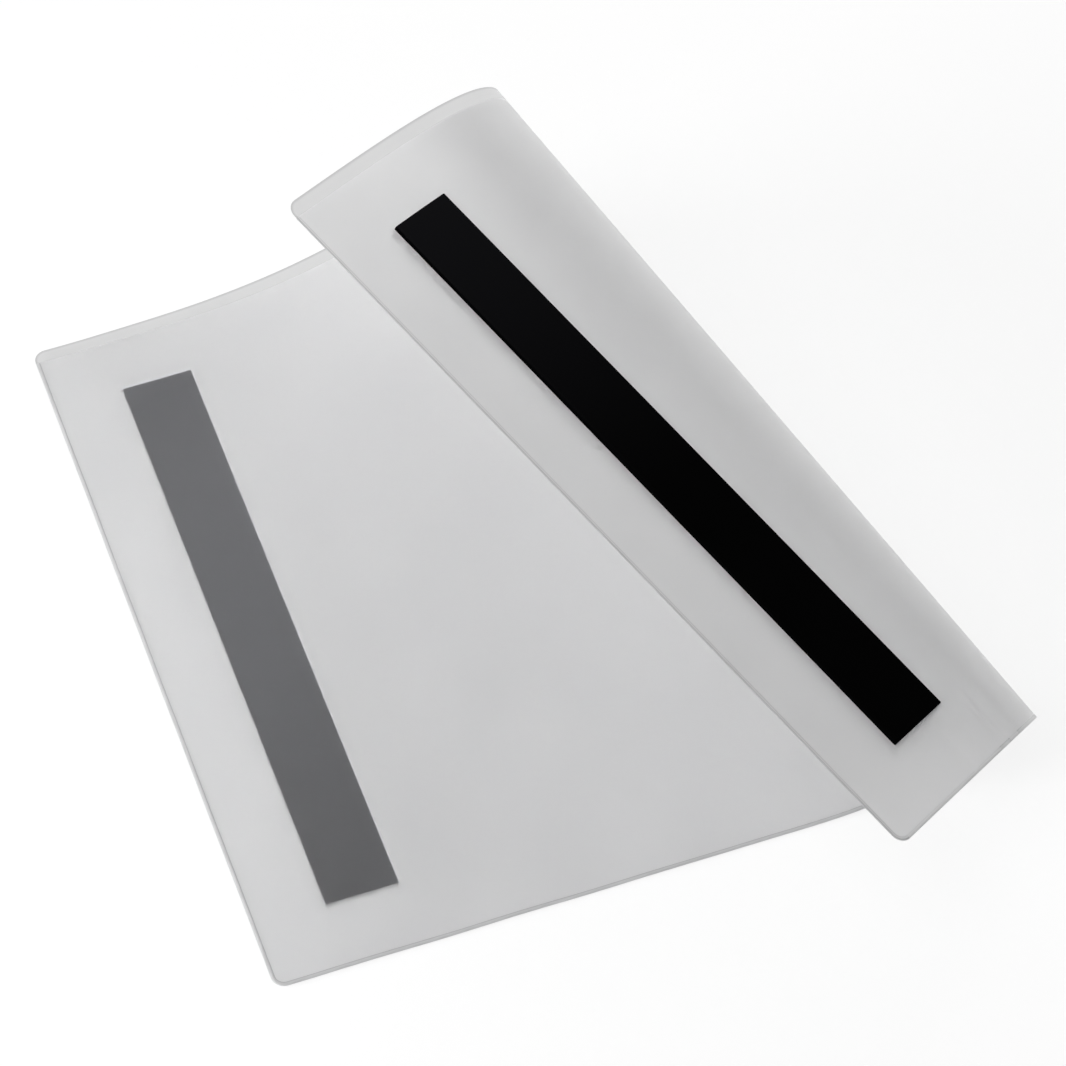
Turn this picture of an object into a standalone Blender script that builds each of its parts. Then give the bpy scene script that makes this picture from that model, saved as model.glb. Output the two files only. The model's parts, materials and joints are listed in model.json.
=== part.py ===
"""Magnetic display pocket for a landscape A4 sheet, with its right half rolled up and over.

Two frosted films are welded along the two short sides and the foot, and stay open at the
mouth. A flexible magnetic strip is taped to the back along each short side. The films bend
along straight lines that fan out across the pocket, so they are cut into flat panels, and
the panels between two bends form one body.

Lengths are in metres, with +Z up. The origin is the middle of the left strip's holding face,
+X runs along the foot to the right and +Y runs from the foot to the mouth.
"""

import math
from dataclasses import dataclass

import bmesh
import bpy
from mathutils import Matrix, Vector

# Films
POCKET_WIDTH = 0.305
POCKET_HEIGHT = 0.220
CORNER_RADIUS = 0.0035
FILM_THICKNESS = 0.00025
LIP_HEIGHT = 0.004

# Welded seams between the two films
SEAM_WIDTH = 0.0012
SEAM_INSET = 0.0002
SEAM_THICKNESS = 0.00015
SEAM_END_GAP = 0.0003

# Magnetic strips, and the tape between each strip and the back film
STRIP_WIDTH = 0.020
STRIP_LENGTH = 0.180
STRIP_THICKNESS = 0.0015
STRIP_SIDE_MARGIN = 0.020
STRIP_FOOT_MARGIN = 0.019
TAPE_THICKNESS = 0.00015
TAPE_INSET = 0.0005

# Clearance on each side of a weld or a tape
BOND_GAP = 0.0001

# Roll: its whole angle, and where its first and last bend cross the foot edge and the mouth
# edge, measured from the strip beside that bend
BEND_COUNT = 12
ROLL_ANGLE = math.radians(165.6)
FIRST_BEND_TO_STRIP_AT_FOOT = 0.127
FIRST_BEND_TO_STRIP_AT_MOUTH = 0.007
LAST_BEND_TO_STRIP_AT_FOOT = 0.005
LAST_BEND_TO_STRIP_AT_MOUTH = 0.0025
BEND_GAP = 0.0004

# Fineness of the rounded corners, and of the search for the bends' places
CORNER_STEPS = 6
SEARCH_STEPS = 40

# Heights above the back film's outer face, on the flat pocket
BACK_FILM_TOP = FILM_THICKNESS
SEAM_LOW = BACK_FILM_TOP + BOND_GAP
SEAM_TOP = SEAM_LOW + SEAM_THICKNESS
FRONT_FILM_LOW = SEAM_TOP + BOND_GAP
FRONT_FILM_TOP = FRONT_FILM_LOW + FILM_THICKNESS
TAPE_TOP = -BOND_GAP
TAPE_LOW = TAPE_TOP - TAPE_THICKNESS
STRIP_TOP = TAPE_LOW - BOND_GAP
HOLDING_FACE = STRIP_TOP - STRIP_THICKNESS

# Places along the flat pocket's width and height
LEFT_STRIP_SIDES = (STRIP_SIDE_MARGIN, STRIP_SIDE_MARGIN + STRIP_WIDTH)
RIGHT_STRIP_SIDES = (POCKET_WIDTH - LEFT_STRIP_SIDES[1], POCKET_WIDTH - LEFT_STRIP_SIDES[0])
STRIP_ENDS = (STRIP_FOOT_MARGIN, STRIP_FOOT_MARGIN + STRIP_LENGTH)
FRONT_FILM_HEIGHT = POCKET_HEIGHT - LIP_HEIGHT

# Colour, roughness and metallic value of each material
FINISHES = {
    "frosted_film": ((0.62, 0.63, 0.65, 1.0), 0.45, 0.0),
    "welded_seam": ((0.52, 0.53, 0.55, 1.0), 0.35, 0.0),
    "magnetic_rubber": ((0.012, 0.012, 0.013, 1.0), 0.7, 0.0),
    "adhesive_tape": ((0.08, 0.08, 0.085, 1.0), 0.5, 0.0),
}


@dataclass
class Body:
    """A rigid stretch of the pocket: its empty, and the empty's place on the flat pocket."""

    empty: bpy.types.Object
    origin: Vector


def clear_scene():
    """Remove whatever the open file holds."""
    for thing in list(bpy.data.objects):
        bpy.data.objects.remove(thing, do_unlink=True)


def make_materials():
    """One Principled material for each finish, by name."""
    materials = {}
    for name, (colour, roughness, metallic) in FINISHES.items():
        material = bpy.data.materials.new(name)
        material.use_nodes = True
        shader = material.node_tree.nodes["Principled BSDF"]
        shader.inputs["Base Color"].default_value = colour
        shader.inputs["Roughness"].default_value = roughness
        shader.inputs["Metallic"].default_value = metallic
        materials[name] = material
    return materials


def bend_share(place):
    """Share of the whole bend before a place from 0 to 1 across the roll: a smooth bell."""
    return place - math.sin(2 * math.pi * place) / (2 * math.pi)


def bend_place(share):
    """Place from 0 to 1 across the roll that has the given share of the bend before it."""
    low, high = 0.0, 1.0
    for _ in range(SEARCH_STEPS):
        middle = (low + high) / 2
        if bend_share(middle) < share:
            low = middle
        else:
            high = middle
    return (low + high) / 2


def bend_lines():
    """Foot end and mouth end of each bend on the flat pocket, from left to right."""
    foot_ends = (
        LEFT_STRIP_SIDES[1] + FIRST_BEND_TO_STRIP_AT_FOOT,
        RIGHT_STRIP_SIDES[0] - LAST_BEND_TO_STRIP_AT_FOOT,
    )
    mouth_ends = (
        LEFT_STRIP_SIDES[1] + FIRST_BEND_TO_STRIP_AT_MOUTH,
        RIGHT_STRIP_SIDES[0] - LAST_BEND_TO_STRIP_AT_MOUTH,
    )
    places = [bend_place((number + 0.5) / BEND_COUNT) for number in range(BEND_COUNT)]
    lines = []
    for place in places:
        across = (place - places[0]) / (places[-1] - places[0])
        foot = foot_ends[0] + (foot_ends[1] - foot_ends[0]) * across
        mouth = mouth_ends[0] + (mouth_ends[1] - mouth_ends[0]) * across
        lines.append((Vector((foot, 0.0, 0.0)), Vector((mouth, POCKET_HEIGHT, 0.0))))
    return lines


def make_empty(name):
    """An empty that carries the pieces of one body."""
    empty = bpy.data.objects.new(name, None)
    bpy.context.collection.objects.link(empty)
    return empty


def make_bodies(lines):
    """The flat body, then one body after each bend, turned about that bend's line."""
    holding_middle = Vector((sum(LEFT_STRIP_SIDES) / 2, sum(STRIP_ENDS) / 2, HOLDING_FACE))
    bodies = [Body(make_empty("flat_side"), holding_middle)]
    turn = -ROLL_ANGLE / BEND_COUNT
    for number, (foot, mouth) in enumerate(lines, start=1):
        before = bodies[-1]
        empty = make_empty(f"bend_{number:02d}")
        empty.parent = before.empty
        shift = Matrix.Translation(foot - before.origin)
        empty.matrix_local = shift @ Matrix.Rotation(turn, 4, mouth - foot)
        bodies.append(Body(empty, foot))
    return bodies


def arc(middle, radius, start, end):
    """Points of an arc in the plane, or its middle alone where the radius is nothing."""
    if radius <= 0.0:
        return [Vector(middle)]
    points = []
    for step in range(CORNER_STEPS + 1):
        angle = start + (end - start) * step / CORNER_STEPS
        points.append(Vector((middle[0] + radius * math.cos(angle), middle[1] + radius * math.sin(angle))))
    return points


def film_outline(top, mouth_radius):
    """Outline of a film up to a height, with round foot corners, running anticlockwise."""
    quarter = math.pi / 2
    left, right = CORNER_RADIUS, POCKET_WIDTH - CORNER_RADIUS
    outline = arc((left, CORNER_RADIUS), CORNER_RADIUS, 2 * quarter, 3 * quarter)
    outline += arc((right, CORNER_RADIUS), CORNER_RADIUS, 3 * quarter, 4 * quarter)
    outline += arc((POCKET_WIDTH - mouth_radius, top - mouth_radius), mouth_radius, 0.0, quarter)
    outline += arc((mouth_radius, top - mouth_radius), mouth_radius, quarter, 2 * quarter)
    return outline


def rectangle(sides, ends):
    """Outline of a rectangle between two sides and two ends, running anticlockwise."""
    corners = ((0, 0), (1, 0), (1, 1), (0, 1))
    return [Vector((sides[across], ends[along])) for across, along in corners]


def seam_corner():
    """Distance from both edges at which a side seam's turn into the foot is complete."""
    return max(CORNER_RADIUS, SEAM_INSET + SEAM_WIDTH)


def side_seam_outline():
    """Outline of the left seam, from the mouth down and round the corner into the foot."""
    quarter = math.pi / 2
    turn = seam_corner()
    middle = (turn, turn)
    inner = SEAM_INSET + SEAM_WIDTH
    outline = [Vector((SEAM_INSET, FRONT_FILM_HEIGHT))]
    outline += arc(middle, turn - SEAM_INSET, 2 * quarter, 3 * quarter)
    outline += reversed(arc(middle, turn - inner, 2 * quarter, 3 * quarter))
    outline.append(Vector((inner, FRONT_FILM_HEIGHT)))
    return outline


def mirrored(outline):
    """The same outline on the pocket's other side."""
    return [Vector((POCKET_WIDTH - point.x, point.y)) for point in reversed(outline)]


def left_of(outline, start, end):
    """The part of a convex outline on the left of a line, half a bend gap away from it."""
    along = (end - start).to_2d().normalized()
    away = Vector((-along.y, along.x))
    kept = []
    for here, there in zip(outline, outline[1:] + outline[:1]):
        here_off = (here - start.to_2d()).dot(away) - BEND_GAP / 2
        there_off = (there - start.to_2d()).dot(away) - BEND_GAP / 2
        if here_off >= 0.0:
            kept.append(here)
        if here_off * there_off < 0.0:
            kept.append(here.lerp(there, here_off / (here_off - there_off)))
    return kept


def panel_of(outline, lines, number):
    """The part of a convex outline between the bends on both sides of one body."""
    if number > 0:
        foot, mouth = lines[number - 1]
        outline = left_of(outline, mouth, foot)
    if number < len(lines):
        foot, mouth = lines[number]
        outline = left_of(outline, foot, mouth)
    return outline


def make_plate(name, outline, low, high, body, material):
    """A flat piece cut to an outline, between two heights, carried by a body."""
    mesh = bmesh.new()
    floor = [mesh.verts.new(Vector((point.x, point.y, low)) - body.origin) for point in outline]
    base = mesh.faces.new(floor)
    raised = bmesh.ops.extrude_face_region(mesh, geom=[base])["geom"]
    corners = [item for item in raised if isinstance(item, bmesh.types.BMVert)]
    bmesh.ops.translate(mesh, verts=corners, vec=(0.0, 0.0, high - low))
    bmesh.ops.recalc_face_normals(mesh, faces=mesh.faces)
    data = bpy.data.meshes.new(name)
    mesh.to_mesh(data)
    mesh.free()
    data.materials.append(material)
    piece = bpy.data.objects.new(name, data)
    bpy.context.collection.objects.link(piece)
    piece.parent = body.empty
    return piece


def make_films(lines, bodies, materials):
    """The panels of the back film, of the shorter front film and of the foot seam."""
    back = film_outline(POCKET_HEIGHT, CORNER_RADIUS)
    front = film_outline(FRONT_FILM_HEIGHT, 0.0)
    seam_start = seam_corner() + SEAM_END_GAP
    foot_seam = rectangle(
        (seam_start, POCKET_WIDTH - seam_start),
        (SEAM_INSET, SEAM_INSET + SEAM_WIDTH),
    )
    layers = (
        ("back_film", back, 0.0, BACK_FILM_TOP, "frosted_film"),
        ("foot_seam", foot_seam, SEAM_LOW, SEAM_TOP, "welded_seam"),
        ("front_film", front, FRONT_FILM_LOW, FRONT_FILM_TOP, "frosted_film"),
    )
    for number, body in enumerate(bodies):
        for name, outline, low, high, finish in layers:
            panel = panel_of(outline, lines, number)
            make_plate(f"{name}_{number:02d}", panel, low, high, body, materials[finish])


def make_side_seams(bodies, materials):
    """The seams down the two short sides."""
    left = side_seam_outline()
    for name, outline, body in (("left", left, bodies[0]), ("right", mirrored(left), bodies[-1])):
        make_plate(f"{name}_seam", outline, SEAM_LOW, SEAM_TOP, body, materials["welded_seam"])


def make_strips(bodies, materials):
    """The two magnetic strips on the back, each with its tape."""
    tape_ends = (STRIP_ENDS[0] + TAPE_INSET, STRIP_ENDS[1] - TAPE_INSET)
    for name, sides, body in (
        ("left", LEFT_STRIP_SIDES, bodies[0]),
        ("right", RIGHT_STRIP_SIDES, bodies[-1]),
    ):
        tape_sides = (sides[0] + TAPE_INSET, sides[1] - TAPE_INSET)
        strip = rectangle(sides, STRIP_ENDS)
        tape = rectangle(tape_sides, tape_ends)
        make_plate(f"{name}_magnetic_strip", strip, HOLDING_FACE, STRIP_TOP, body, materials["magnetic_rubber"])
        make_plate(f"{name}_adhesive_tape", tape, TAPE_LOW, TAPE_TOP, body, materials["adhesive_tape"])


def main():
    """Build the pocket."""
    clear_scene()
    materials = make_materials()
    lines = bend_lines()
    bodies = make_bodies(lines)
    make_films(lines, bodies, materials)
    make_side_seams(bodies, materials)
    make_strips(bodies, materials)
    bpy.context.view_layer.update()


main()
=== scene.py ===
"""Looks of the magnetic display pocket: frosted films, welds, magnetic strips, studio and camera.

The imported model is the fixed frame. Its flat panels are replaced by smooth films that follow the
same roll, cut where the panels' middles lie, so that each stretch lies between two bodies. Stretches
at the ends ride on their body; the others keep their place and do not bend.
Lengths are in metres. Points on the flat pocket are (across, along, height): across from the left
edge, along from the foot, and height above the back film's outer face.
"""

import json
import logging
import math
from dataclasses import dataclass, field
from enum import Enum
from typing import Callable

import bpy
import numpy as np
from mathutils import Matrix, Vector

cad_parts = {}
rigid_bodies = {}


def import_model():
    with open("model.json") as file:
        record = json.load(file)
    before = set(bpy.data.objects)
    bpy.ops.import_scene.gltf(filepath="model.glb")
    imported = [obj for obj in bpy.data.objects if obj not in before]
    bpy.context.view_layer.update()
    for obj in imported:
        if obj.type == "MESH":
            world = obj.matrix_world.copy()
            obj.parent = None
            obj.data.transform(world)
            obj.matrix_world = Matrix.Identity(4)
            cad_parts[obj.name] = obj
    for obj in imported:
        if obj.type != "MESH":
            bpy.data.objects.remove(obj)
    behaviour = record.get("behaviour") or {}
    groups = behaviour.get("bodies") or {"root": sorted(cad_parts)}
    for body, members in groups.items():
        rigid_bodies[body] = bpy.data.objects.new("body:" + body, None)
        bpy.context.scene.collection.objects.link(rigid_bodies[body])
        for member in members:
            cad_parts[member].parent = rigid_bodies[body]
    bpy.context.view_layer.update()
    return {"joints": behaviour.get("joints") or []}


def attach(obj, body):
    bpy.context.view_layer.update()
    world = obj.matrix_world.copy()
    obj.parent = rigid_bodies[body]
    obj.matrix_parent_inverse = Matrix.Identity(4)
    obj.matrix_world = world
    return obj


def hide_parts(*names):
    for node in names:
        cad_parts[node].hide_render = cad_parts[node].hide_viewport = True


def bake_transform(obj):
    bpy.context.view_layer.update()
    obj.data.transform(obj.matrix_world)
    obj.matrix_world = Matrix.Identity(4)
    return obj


log = logging.getLogger("display_pocket")

FLAT_MAP = "flat_place"
SECTION_MAP = "section_place"

Colour = tuple[float, float, float]
Span = tuple[float, float]
HeightAt = Callable[[np.ndarray, np.ndarray], np.ndarray]

MILKY: Colour = (0.90, 0.90, 0.903)
MILKY_CLOUD: Colour = (0.885, 0.885, 0.889)


class Side(Enum):
    """The pocket's two short sides."""

    LEFT = "left"
    RIGHT = "right"


class FilmArea(Enum):
    """The areas of a film that look different."""

    OPEN = "open"
    TAPED = "taped"
    LIP = "lip"


def smooth_step(values: np.ndarray, low: float, high: float) -> np.ndarray:
    """Rise smoothly from 0 at low to 1 at high."""
    share = np.clip((values - low) / (high - low), 0.0, 1.0)
    return share * share * (3.0 - 2.0 * share)


def spaced(start: float, end: float, step: float) -> np.ndarray:
    """Even places from start to end, no further apart than step."""
    count = max(1, math.ceil(abs(end - start) / step))
    return np.linspace(start, end, count + 1)


@dataclass(frozen=True)
class Roll:
    """The pocket's outline, and the smooth roll that carries its flat points into the room.

    The bend is a bell across the roll. Its straight lines fan out from the foot to the mouth, and
    a place from 0 to 1 names each of them. The stiff right strip draws the bell's end in a little.
    """

    width: float = 0.305
    height: float = 0.220
    corner_radius: float = 0.0035
    lip_height: float = 0.004
    strip_width: float = 0.020
    strip_length: float = 0.180
    strip_side_margin: float = 0.020
    strip_foot_margin: float = 0.019
    tape_inset: float = 0.0005
    clear_inset: float = 0.0012
    holding_face: float = -0.00185
    angle: float = math.radians(165.6)
    bend_count: int = 12
    fine_count: int = 3600
    halvings: int = 48
    tail_start: float = 0.6
    tail_pull: float = 0.13
    first_bend_foot: float = 0.167
    first_bend_mouth: float = 0.047
    last_bend_foot: float = 0.260
    last_bend_mouth: float = 0.2625

    @property
    def front_height(self) -> float:
        """Height of the front film, which ends below the mouth's lip."""
        return self.height - self.lip_height

    @property
    def strip_ends(self) -> Span:
        """Foot end and mouth end of the strips."""
        return self.strip_foot_margin, self.strip_foot_margin + self.strip_length

    def strip_sides(self, side: Side) -> Span:
        """Left and right edge of a strip.

        Args:
            side: The strip's side of the pocket.

        Returns:
            Across of its left and of its right edge.
        """
        inner = self.strip_side_margin + self.strip_width
        if side is Side.LEFT:
            return self.strip_side_margin, inner
        return self.width - inner, self.width - self.strip_side_margin

    def clear_sides(self, side: Side) -> Span:
        """Left and right edge of the area where a strip shows clearly through the back film."""
        left, right = self.strip_sides(side)
        return (left, right) if side is Side.LEFT else (left, right - self.clear_inset)

    def clear_lines(self) -> list[float]:
        """Across of the long edges of both clear areas."""
        return [*self.clear_sides(Side.LEFT), *self.clear_sides(Side.RIGHT)]

    @staticmethod
    def share(place: np.ndarray) -> np.ndarray:
        """Share of the bend before a place."""
        inside = np.clip(place, 0.0, 1.0)
        return inside - np.sin(2 * np.pi * inside) / (2 * np.pi)

    def place_of_share(self, shares: np.ndarray) -> np.ndarray:
        """Places that have the given shares of the bend before them, found by halving.

        Args:
            shares: Shares of the bend, from 0 to 1.

        Returns:
            The place for each share.
        """
        low, high = np.zeros_like(shares), np.ones_like(shares)
        for _ in range(self.halvings):
            middle = (low + high) / 2
            short = self.share(middle) < shares
            low, high = np.where(short, middle, low), np.where(short, high, middle)
        return (low + high) / 2

    def bend_places(self) -> np.ndarray:
        """Place of each bend of the frame."""
        return self.place_of_share((np.arange(self.bend_count) + 0.5) / self.bend_count)

    def line_ends(self, place: np.ndarray | float) -> tuple[np.ndarray, np.ndarray]:
        """Where the bend's straight line at a place crosses the foot and the mouth.

        Args:
            place: The line's place.

        Returns:
            Across at the foot and at the mouth.
        """
        bends = self.bend_places()
        share = (np.asarray(place) - bends[0]) / (bends[-1] - bends[0])
        foot = self.first_bend_foot + (self.last_bend_foot - self.first_bend_foot) * share
        mouth = self.first_bend_mouth + (self.last_bend_mouth - self.first_bend_mouth) * share
        return foot, mouth

    def line_at(self, place: float, along: np.ndarray) -> np.ndarray:
        """Across of the straight line at a place, kept on the pocket.

        Args:
            place: The line's place.
            along: Distances from the foot.

        Returns:
            Across for each along.
        """
        foot, mouth = self.line_ends(place)
        across = foot + (mouth - foot) * along / self.height
        return np.clip(across, self.left_edge(along), self.right_edge(along))

    def place_at(self, across: np.ndarray, along: np.ndarray) -> np.ndarray:
        """Place of the straight line through each flat point.

        Args:
            across: Distance of each point from the left edge.
            along: Distance of each point from the foot.

        Returns:
            The place for each point.
        """
        (foot_0, mouth_0), (foot_1, mouth_1) = self.line_ends(0.0), self.line_ends(1.0)
        rise = along / self.height
        start = foot_0 + (mouth_0 - foot_0) * rise
        end = foot_1 + (mouth_1 - foot_1) * rise
        return (across - start) / (end - start)

    def left_edge(self, along: np.ndarray) -> np.ndarray:
        """Across of the rounded left edge.

        Args:
            along: Distances from the foot.

        Returns:
            Across for each along.
        """
        inset = self.corner_radius - np.minimum(along, self.height - along)
        inset = np.clip(inset, 0.0, self.corner_radius)
        return self.corner_radius - np.sqrt(self.corner_radius**2 - inset**2)

    def right_edge(self, along: np.ndarray) -> np.ndarray:
        """Across of the rounded right edge."""
        return self.width - self.left_edge(along)

    def turns(self) -> tuple[np.ndarray, np.ndarray]:
        """Work out the fine bends.

        Returns:
            Places of the fine bends, and the turn of the stretch before and after each of them.
        """
        places = self.place_of_share((np.arange(self.fine_count) + 0.5) / self.fine_count)
        places -= self.tail_pull * np.maximum(places - self.tail_start, 0.0) ** 2
        step = -self.angle / self.fine_count
        turn = Matrix.Identity(4)
        turns = [np.array(turn)]
        for foot, mouth in zip(*self.line_ends(places)):
            start = Vector((foot, 0.0, 0.0))
            line = Vector((mouth - foot, self.height, 0.0))
            shift = Matrix.Translation(start)
            turn = turn @ shift @ Matrix.Rotation(step, 4, line) @ shift.inverted()
            turns.append(np.array(turn))
        return places, np.array(turns)

    def origin(self) -> np.ndarray:
        """The frame's origin on the flat pocket: the middle of the left strip's holding face."""
        sides, ends = self.strip_sides(Side.LEFT), self.strip_ends
        return np.array((sum(sides) / 2, sum(ends) / 2, self.holding_face))


class RolledSheet:
    """Carries flat points into the frame, and finds the directions of the rolled surface there."""

    PROBE = 0.0006

    def __init__(self, roll: Roll) -> None:
        """Work out the fine bends once.

        Args:
            roll: The pocket's outline and roll.
        """
        self.roll = roll
        self.places, self.turns = roll.turns()
        self.shift = roll.origin()

    def carry(self, across: np.ndarray, along: np.ndarray, height: np.ndarray) -> np.ndarray:
        """Points in the frame for flat points.

        Args:
            across: Distance of each point from the left edge.
            along: Distance of each point from the foot.
            height: Distance of each point above the back film's outer face.

        Returns:
            One row of x, y and z for each point.
        """
        across, along, height = np.broadcast_arrays(across, along, height)
        passed = np.searchsorted(self.places, self.roll.place_at(across, along).ravel())
        flat = np.stack((across.ravel(), along.ravel(), height.ravel(), np.ones(across.size)), axis=1)
        return np.einsum("nij,nj->ni", self.turns[passed], flat)[:, :3] - self.shift

    def normals(self, across: np.ndarray, along: np.ndarray, height_at: HeightAt) -> np.ndarray:
        """Unit normals of a film whose height is a function of the flat place.

        Args:
            across: Distance of each point from the left edge.
            along: Distance of each point from the foot.
            height_at: The film's height for across and along.

        Returns:
            One row for each point, on the side of the pocket's front.
        """

        def slope(d_across: float, d_along: float) -> np.ndarray:
            """Way from the point behind to the point ahead.

            Args:
                d_across: Half of the way across.
                d_along: Half of the way along.

            Returns:
                One row for each point.
            """
            ahead = (across + d_across, along + d_along)
            behind = (across - d_across, along - d_along)
            return self.carry(*ahead, height_at(*ahead)) - self.carry(*behind, height_at(*behind))

        facing = np.cross(slope(self.PROBE, 0.0), slope(0.0, self.PROBE))
        return facing / np.linalg.norm(facing, axis=1, keepdims=True)


@dataclass(frozen=True)
class Relief:
    """How the films lie: they drop beside the left strip, part inside the welds and crease at the foot.

    Each wave has its turn per metre across and along, and the turn it starts with. Each crease has
    its across, its half width, its depth and how far it runs up from the foot. It keeps its full
    depth over the first share of that run.
    """

    roll: Roll
    back_height: float = 0.00012
    weld_gap: float = 0.00020
    open_gap: float = 0.00030
    open_distance: float = 0.010
    drop: float = 0.0012
    drop_distance: float = 0.022
    drop_end: float = 0.34
    wave_height: float = 0.00009
    taut_place: float = 0.3
    waves: tuple[tuple[float, float, float], ...] = (
        (110.0, 40.0, 0.4),
        (-60.0, 150.0, 1.9),
        (170.0, -115.0, 3.1),
        (45.0, 95.0, 5.0),
    )
    creases: tuple[tuple[float, float, float, float], ...] = (
        (0.2535, 0.0030, 0.0009, 0.034),
        (0.2712, 0.0022, 0.0002, 0.020),
    )
    crease_full: float = 0.3

    def off_strip(self, side: Side, across: np.ndarray, along: np.ndarray, reach: float) -> np.ndarray:
        """Rise from 0 on a strip to 1 away from it.

        Args:
            side: The strip's side of the pocket.
            across: Distance of each point from the left edge.
            along: Distance of each point from the foot.
            reach: Distance from the strip at which the rise ends.

        Returns:
            The rise for each point.
        """
        sides, ends = self.roll.strip_sides(side), self.roll.strip_ends
        beside = np.maximum(np.abs(across - sum(sides) / 2) - self.roll.strip_width / 2, 0.0)
        beyond = np.maximum(np.abs(along - sum(ends) / 2) - self.roll.strip_length / 2, 0.0)
        return smooth_step(np.hypot(beside, beyond), 0.0, reach)

    def wave(self, across: np.ndarray, along: np.ndarray) -> np.ndarray:
        """Soft waves of the loose film, which fade out at the strips and on the taut roll.

        Args:
            across: Distance of each point from the left edge.
            along: Distance of each point from the foot.

        Returns:
            The rise for each point.
        """
        loose = 1.0 - smooth_step(self.roll.place_at(across, along), 0.0, self.taut_place)
        for side in Side:
            loose = loose * self.off_strip(side, across, along, self.drop_distance)
        swell = sum(np.sin(turn * across + rise * along + start) for turn, rise, start in self.waves)
        return self.wave_height * loose * swell

    def crease(self, across: np.ndarray, along: np.ndarray) -> np.ndarray:
        """Soft creases at the foot, which fade out upwards beside the right strip's end.

        Args:
            across: Distance of each point from the left edge.
            along: Distance of each point from the foot.

        Returns:
            The rise for each point.
        """
        rise = np.zeros_like(across)
        for middle, half_width, depth, reach in self.creases:
            fade = 1.0 - smooth_step(along, reach * self.crease_full, reach)
            rise = rise + depth * fade * np.exp(-(((across - middle) / half_width) ** 2))
        return rise

    def back(self, across: np.ndarray, along: np.ndarray) -> np.ndarray:
        """Height of the back film.

        Args:
            across: Distance of each point from the left edge.
            along: Distance of each point from the foot.

        Returns:
            The height for each point.
        """
        away = self.off_strip(Side.LEFT, across, along, self.drop_distance)
        flat = 1.0 - smooth_step(self.roll.place_at(across, along), 0.0, self.drop_end)
        lie = self.back_height - self.drop * away * flat
        return lie + self.wave(across, along) + self.crease(across, along)

    def gap(self, across: np.ndarray, along: np.ndarray) -> np.ndarray:
        """Distance between the films.

        Args:
            across: Distance of each point from the left edge.
            along: Distance of each point from the foot.

        Returns:
            The distance for each point.
        """
        inside = np.minimum(np.minimum(across, self.roll.width - across), along)
        share = smooth_step(inside, 0.0, self.open_distance)
        return self.weld_gap + (self.open_gap - self.weld_gap) * share

    def front(self, across: np.ndarray, along: np.ndarray) -> np.ndarray:
        """Height of the front film."""
        return self.back(across, along) + self.gap(across, along)


def new_piece(name: str, points: np.ndarray, faces: list[tuple[int, ...]]) -> bpy.types.Object:
    """Make a smooth-shaded mesh object.

    Args:
        name: Name of the piece.
        points: One row for each vertex, in the frame.
        faces: Vertex numbers of each face.

    Returns:
        The new object, linked to the scene.
    """
    mesh = bpy.data.meshes.new(name)
    mesh.from_pydata(points.tolist(), [], faces)
    mesh.shade_smooth()
    piece = bpy.data.objects.new(name, mesh)
    bpy.context.scene.collection.objects.link(piece)
    return piece


def store_places(
    piece: bpy.types.Object, across: np.ndarray, along: np.ndarray, name: str = FLAT_MAP
) -> None:
    """Keep two lengths of each vertex as a texture map: by default its place on the flat pocket.

    Args:
        piece: The mesh object.
        across: First length of each vertex.
        along: Second length of each vertex.
        name: Name of the map.
    """
    layer = piece.data.uv_layers.new(name=name)
    corners = np.zeros(len(piece.data.loops), np.int32)
    piece.data.loops.foreach_get("vertex_index", corners)
    layer.data.foreach_set("uv", np.stack((across[corners], along[corners]), axis=1).ravel())


@dataclass
class Stretch:
    """A stretch of the pocket between two of the bend's straight lines, and its bodies."""

    number: int
    left: float | None
    right: float | None
    bodies: tuple[str, ...]
    column_step: float
    start: Vector | None = None
    end: Vector | None = None
    margin_share: float = 0.05
    fewest_columns: int = 2

    def across(self, roll: Roll, along: np.ndarray) -> np.ndarray:
        """Columns between the stretch's two edges, some of them along the clear areas' edges.

        Args:
            roll: The pocket's outline and roll.
            along: Distances from the foot.

        Returns:
            Across of each column, with one row for each along.
        """
        first = roll.left_edge(along) if self.left is None else roll.line_at(self.left, along)
        last = roll.right_edge(along) if self.right is None else roll.line_at(self.right, along)
        middle = len(along) // 2
        inner = [line for line in roll.clear_lines() if first[middle] < line < last[middle]]
        margin = (last - first) * self.margin_share
        knots = [first, *(np.clip(line, first + margin, last - margin) for line in inner), last]
        columns = [first[:, None]]
        for low, high in zip(knots[:-1], knots[1:]):
            wanted = math.ceil((high[middle] - low[middle]) / self.column_step)
            count = max(self.fewest_columns, wanted)
            columns.append(low[:, None] + (high - low)[:, None] * np.linspace(0.0, 1.0, count + 1)[1:])
        return np.concatenate(columns, axis=1)

    def attach(self, piece: bpy.types.Object) -> None:
        """Let a piece ride on the stretch's body; with two bodies, bake its place and leave it
        unattached.

        Args:
            piece: A piece that lies in the stretch.
        """
        if len(self.bodies) == 1:
            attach(piece, self.bodies[0])
        else:
            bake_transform(piece)


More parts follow.
